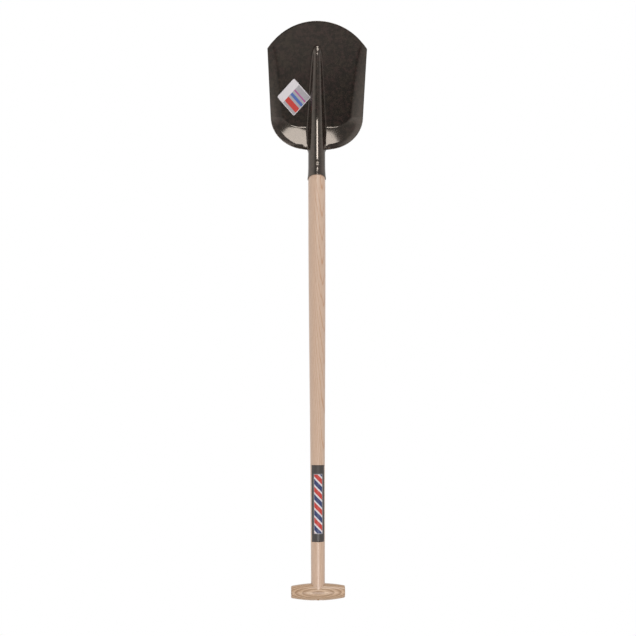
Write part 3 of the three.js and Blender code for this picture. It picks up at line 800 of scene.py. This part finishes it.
def bored(piece, radius, low, high):
    """Cuts a round hole along Z through a piece and bakes the cut into its mesh."""
    widths = np.array([0, radius, radius, 0])[:, None]
    heights = np.array([high, high, low, low])[:, None]
    cutter = add_mesh("bore_cutter", *close_poles(around_shaft(widths, FINE_TURN, heights)))
    cut = piece.modifiers.new("bore", "BOOLEAN")
    cut.operation, cut.solver, cut.object = "DIFFERENCE", "EXACT", cutter
    seen = piece.evaluated_get(bpy.context.evaluated_depsgraph_get())
    cut_mesh = bpy.data.meshes.new_from_object(seen)
    piece.modifiers.remove(cut)
    whole, piece.data = piece.data, cut_mesh
    # Removing the cutter's mesh removes the cutter too.
    for spent in (whole, cutter.data):
        bpy.data.meshes.remove(spent)
    cut_mesh.set_sharp_from_angle(angle=EDGE_ANGLE)
    if not cut_mesh.polygons:
        raise RuntimeError("the grip's bore left no mesh")


class SPADE_OT_camera(bpy.types.Operator):
    """Place the camera in front of the spade, at the photograph's height"""

    bl_idname = "spade.camera"
    bl_label = "Camera"

    def execute(self, context):
        """A long lens level with the middle of the picture, a little to the left of the spade."""
        distance, picture_height = 4.3, 1.536
        middle_x, middle_z = 0.002, -0.407
        lean, turn = np.radians(0.17), np.radians(-3)
        data = bpy.data.cameras.new("front_camera")
        data.lens = data.sensor_width * distance / picture_height
        camera = add_object("front_camera", data)
        camera.location = (middle_x + distance * np.sin(turn), -distance * np.cos(turn), middle_z)
        camera.rotation_euler = (np.pi / 2, lean, turn)
        context.scene.camera = camera
        return {"FINISHED"}


class SPADE_OT_blade(bpy.types.Operator):
    """Make the pressed blade with its rib and rolled socket"""

    bl_idname = "spade.blade"
    bl_label = "Blade"

    def execute(self, context):
        """One closed sheet round the pressing's surface."""
        blade = context.scene.spade_blade
        points, fullness = sheet_surface(blade, context.scene.spade_handle.nail)
        vertices, faces = closed_sheet(points, fullness, blade.sheet)
        piece = make_piece("pressed_blade", vertices, faces, lacquered_steel())
        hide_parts("blade")
        return {"FINISHED"}


class SPADE_OT_shaft(bpy.types.Operator):
    """Make the ash shaft with its coped end and tenon"""

    bl_idname = "spade.shaft"
    bl_label = "Shaft"

    def execute(self, context):
        """Rings round the shaft's axis, closed at the nose and at the tenon's end."""
        points, faces = close_poles(shaft_rings(context.scene.spade_blade, context.scene.spade_handle))
        piece = make_piece("ash_shaft", points, faces, ash_wood())
        piece.data.set_sharp_from_angle(angle=EDGE_ANGLE)
        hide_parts("shaft")
        return {"FINISHED"}


class SPADE_OT_grip(bpy.types.Operator):
    """Make the turned grip, bored for the tenon, and finish the wedge"""

    bl_idname = "spade.grip"
    bl_label = "Grip"

    def execute(self, context):
        """Oval rings along X with a hole cut through for the tenon."""
        handle = context.scene.spade_handle
        points, faces = close_poles(barrel_rings(handle))
        piece = make_piece("turned_grip", points, faces, grip_wood())
        reach = 2 * handle.grip_height
        bored(piece, handle.tenon + handle.gap, -handle.grip - reach, -handle.grip + reach)
        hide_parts("grip")
        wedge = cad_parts["grip_wedge"]
        wedge.data.materials.clear()
        wedge.data.materials.append(wedge_wood())
        return {"FINISHED"}


class SPADE_OT_nail(bpy.types.Operator):
    """Make the nail through the front of the socket"""

    bl_idname = "spade.nail"
    bl_label = "Nail"

    def execute(self, context):
        """Rings round the nail's axis: a dome on a thin edge, the head's underside, the shank, its point."""
        blade, handle = context.scene.spade_blade, context.scene.spade_handle
        edge_share, underside_share, dome_rings = 0.3, 0.98, 9
        seat = blade.dimple - blade.socket - handle.gap
        tip_y = seat + handle.nail_length
        angle = np.linspace(0, np.pi / 2, dome_rings)
        dome_r = handle.nail_head * np.sin(angle)
        dome_y = seat - handle.nail_height * mix(edge_share, 1, np.cos(angle))
        shank, underside = handle.nail_shank, handle.nail_head * underside_share
        r = join([dome_r, [underside, shank, shank, 0]])[:, None]
        y = join([dome_y, [seat, seat, tip_y - handle.nail_point, tip_y]])[:, None]
        rings = grid_points(r * np.sin(COARSE_TURN), y, r * np.cos(COARSE_TURN) - handle.nail)
        piece = make_piece("socket_nail_head", *close_poles(rings), nail_steel())
        piece.data.set_sharp_from_angle(angle=NAIL_EDGE_ANGLE)
        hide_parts("socket_nail")
        return {"FINISHED"}


class SPADE_OT_labels(bpy.types.Operator):
    """Make the label on the blade and the label on the shaft"""

    bl_idname = "spade.labels"
    bl_label = "Labels"

    def execute(self, context):
        """Thin closed sheets that follow the surfaces under them."""
        scene = context.scene
        self.blade_label(scene.spade_labels, scene.spade_blade)
        self.shaft_label(scene.spade_labels, scene.spade_handle)
        return {"FINISHED"}

    def blade_label(self, labels, blade):
        """A square turned on its corner. Side and rise go from -1 to 1 along its edges, and near a corner the
        point that lies past both straight parts is drawn in from a square to a circle."""
        count, tiny = 49, 1e-9
        step = np.linspace(-1, 1, count)
        rise, side = np.meshgrid(-step, step, indexing="ij")
        round_share = labels.corner_radius * 2 / np.hypot(labels.blade_half_width, labels.blade_half_height)
        keep = 1 - round_share
        past_side, past_rise = (np.maximum(np.abs(way) - keep, 0) / round_share for way in (side, rise))
        both = np.hypot(past_side, past_rise)
        pull = np.where(both > 0, np.maximum(past_side, past_rise) / np.maximum(both, tiny), 1)
        side = np.sign(side) * (np.minimum(np.abs(side), keep) + round_share * past_side * pull)
        rise = np.sign(rise) * (np.minimum(np.abs(rise), keep) + round_share * past_rise * pull)
        x = labels.blade_half_width * (side - rise) / 2 - labels.blade_offset
        z = labels.blade_half_height * (side + rise) / 2 + labels.blade_height
        uv = np.stack([side + 1, rise + 1], axis=-1) / 2
        material = printed_film("silver_printed_film", blade_print, 0.4)
        piece = self.film("blade_sticker", grid_points(x, blade_depth(blade, x, z), z), uv, material, labels)
        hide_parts("blade_label")

    def shaft_label(self, labels, handle):
        """A strip round the front of the shaft."""
        rows, columns = 61, 41
        bottom = labels.shaft_clearance - handle.grip
        up, across = np.meshgrid(np.linspace(1, 0, rows), np.linspace(0, 1, columns), indexing="ij")
        z = bottom + labels.shaft_length * up
        angle = labels.shaft_half_angle * (2 * across - 1)
        points = around_shaft(shaft_radius(handle, z), angle, z)
        material = printed_film("charcoal_printed_film", shaft_print, 0.42)
        piece = self.film("shaft_sticker", points, np.stack([across, up], axis=-1), material, labels)
        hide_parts("shaft_label")

    def film(self, name, points, uv, material, labels):
        """One closed film over the surface, with its print mapped on both faces."""
        fullness = np.ones(points.shape[:2])
        fullness[[0, -1], :] = 0
        fullness[:, [0, -1]] = 0
        vertices, faces = closed_sheet(points, fullness, labels.film, labels.lift)
        both_faces = join([uv.reshape(-1, 2), uv[1:-1, 1:-1].reshape(-1, 2)])
        return make_piece(name, vertices, faces, material, uv=both_faces)


class SPADE_OT_stage(bpy.types.Operator):
    """Make the floor, the world and the studio lights"""

    bl_idname = "spade.stage"
    bl_label = "Stage"

    def execute(self, context):
        """A round pale floor under the hanging spade, a studio world, and three lamps: a high softbox at the
        right, a far strip light and a low panel before the grip."""
        context.scene.view_settings.view_transform = "Standard"
        self.floor(context.scene.spade_colours.floor)
        self.world(context.scene)
        light = context.scene.spade_light
        self.lamp("softbox", (0.76, -2.1, 2.07), (0, 0, 0.03), wide=2.5, tall=2.0,
                  power=light.softbox, tilt=25)
        self.lamp("strip", (0.45, -4.77, 0.47), (0, 0, 0.47), wide=1.45, tall=0.5, power=light.strip)
        self.lamp("low_panel", (0.1, -1.6, -1.38), (0, 0, -1.2), wide=0.7, tall=0.44, power=light.low_panel)
        return {"FINISHED"}

    def lamp(self, name, place, target, wide, tall, power, tilt=0):
        """An area light at a place that faces a target, tilted by some degrees in its own plane."""
        data = bpy.data.lights.new(name, "AREA")
        data.shape, data.size, data.size_y, data.energy = "RECTANGLE", wide, tall, power
        lamp = add_object(name, data)
        lamp.location = place
        aim = (Vector(target) - Vector(place)).to_track_quat("-Z", "Y")
        lamp.rotation_euler = (aim @ Quaternion((0, 0, 1), np.radians(tilt))).to_euler()

    def floor(self, tone):
        """A disc of rings whose outer part fades to the background."""
        radius, drop, ring_count = 1.6, 0.55, 9
        fade_start_share, fade_end_share = 0.35, 0.95
        rings = (radius * np.linspace(0, 1, ring_count))[:, None]
        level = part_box("grip")[0][2] - drop
        points = grid_points(rings * np.cos(COARSE_TURN), rings * np.sin(COARSE_TURN), level)
        floor = add_mesh("floor", points, grid_faces(ring_count, len(COARSE_TURN), closed_across=True))
        material, tree, place = new_material("pale_studio_floor")
        plan = node(tree, "VectorMath", {0: place, 1: (1, 1, 0)}, operation="MULTIPLY")
        distance = node(tree, "VectorMath", {0: plan}, operation="LENGTH")
        fade = node(tree, "MapRange", {
            "Value": distance, "From Min": fade_start_share * radius, "From Max": fade_end_share * radius},
            interpolation_type="SMOOTHSTEP")
        matt = node(tree, "BsdfDiffuse", {"Color": tone})
        white = node(tree, "Emission", {"Strength": 1.0})
        surface = node(tree, "MixShader", {0: fade, 1: matt, 2: white})
        node(tree, "OutputMaterial", {"Surface": surface})
        floor.data.materials.append(material)

    def world(self, scene):
        """White for the camera, and for reflections of the backdrop. Elsewhere three rings of a grey studio,
        each with its own levels round it: a low ring, the horizon and a high ring."""
        backdrop_start, backdrop_full = 0.6, 0.85
        scene.world = bpy.data.worlds.new("studio")
        scene.world.use_nodes = True
        tree = scene.world.node_tree
        tree.nodes.clear()
        split = node(tree, "SeparateXYZ", {0: node(tree, "TexCoord").outputs["Generated"]})
        frontwards = node(tree, "Math", {0: split.outputs["Y"], 1: -1.0}, operation="MULTIPLY")
        turn = node(tree, "Math", {0: split.outputs["X"], 1: frontwards}, operation="ARCTAN2")
        rise = node(tree, "Math", {0: split.outputs["Z"]}, operation="ARCSINE")
        rings = LOW_RING, HORIZON_RING, HIGH_RING
        low, horizon, high = (ramp(tree, turn, 180, stops) for stops in rings)
        upwards = TO_HORIZON, TO_HIGH, FLOOR_GLOW
        to_horizon, to_high, glow = (ramp(tree, rise, 90, stops) for stops in upwards)
        lower = node(tree, "Mix", {"Factor": to_horizon, "A": low, "B": horizon}, data_type="FLOAT")
        upper = node(tree, "Mix", {"Factor": to_high, "A": lower, "B": high}, data_type="FLOAT")
        studio = node(tree, "Math", {0: upper, 1: glow}, operation="ADD")
        backdrop = node(tree, "MapRange", {
            "Value": split.outputs["Y"], "From Min": backdrop_start, "From Max": backdrop_full},
            interpolation_type="SMOOTHSTEP")
        ray = node(tree, "LightPath").outputs
        mirror, through = ray["Is Glossy Ray"], ray["Is Transmission Ray"]
        shown = node(tree, "Math", {0: mirror, 1: through}, operation="MAXIMUM")
        mirrored = node(tree, "Math", {0: shown, 1: backdrop}, operation="MULTIPLY")
        white = node(tree, "Math", {0: ray["Is Camera Ray"], 1: mirrored}, operation="MAXIMUM")
        level = node(tree, "Mix", {"Factor": white, "A": studio, "B": 1.0}, data_type="FLOAT")
        light = node(tree, "Background", {"Color": (1, 1, 1, 1), "Strength": level})
        node(tree, "OutputWorld", {"Surface": light})


class SPADE_PT_panel(bpy.types.Panel):
    """The spade's sizes, colours and operators in the sidebar."""

    bl_idname = "SPADE_PT_panel"
    bl_label = "Garden spade"
    bl_space_type = "VIEW_3D"
    bl_region_type = "UI"
    bl_category = "Spade"

    def draw(self, context):
        """A button for each operator, then every property."""
        for operator in OPERATORS:
            self.layout.operator(operator.bl_idname)
        for place in GROUPS:
            group = getattr(context.scene, place)
            for name in group.bl_rna.properties.keys()[2:]:
                self.layout.prop(group, name)


OPERATORS = (SPADE_OT_camera, SPADE_OT_blade, SPADE_OT_shaft, SPADE_OT_grip, SPADE_OT_nail, SPADE_OT_labels,
             SPADE_OT_stage)
GROUPS = {"spade_blade": BladeSizes, "spade_handle": HandleSizes, "spade_labels": LabelSizes,
          "spade_colours": FinishColours, "spade_light": LightLevels}


def register():
    """Registers the classes and hangs the property groups on the scene."""
    for cls in (*GROUPS.values(), *OPERATORS, SPADE_PT_panel):
        bpy.utils.register_class(cls)
    for name, group in GROUPS.items():
        setattr(bpy.types.Scene, name, bpy.props.PointerProperty(type=group))


def unregister():
    """Takes the property groups off the scene and unregisters the classes."""
    for name in GROUPS:
        delattr(bpy.types.Scene, name)
    for cls in reversed((*GROUPS.values(), *OPERATORS, SPADE_PT_panel)):
        bpy.utils.unregister_class(cls)


def main():
    """Makes the spade and its stage."""
    register()
    bpy.ops.spade.camera()
    bpy.ops.spade.blade()
    bpy.ops.spade.shaft()
    bpy.ops.spade.grip()
    bpy.ops.spade.nail()
    bpy.ops.spade.labels()
    bpy.ops.spade.stage()


if __name__ == "__main__":
    main()
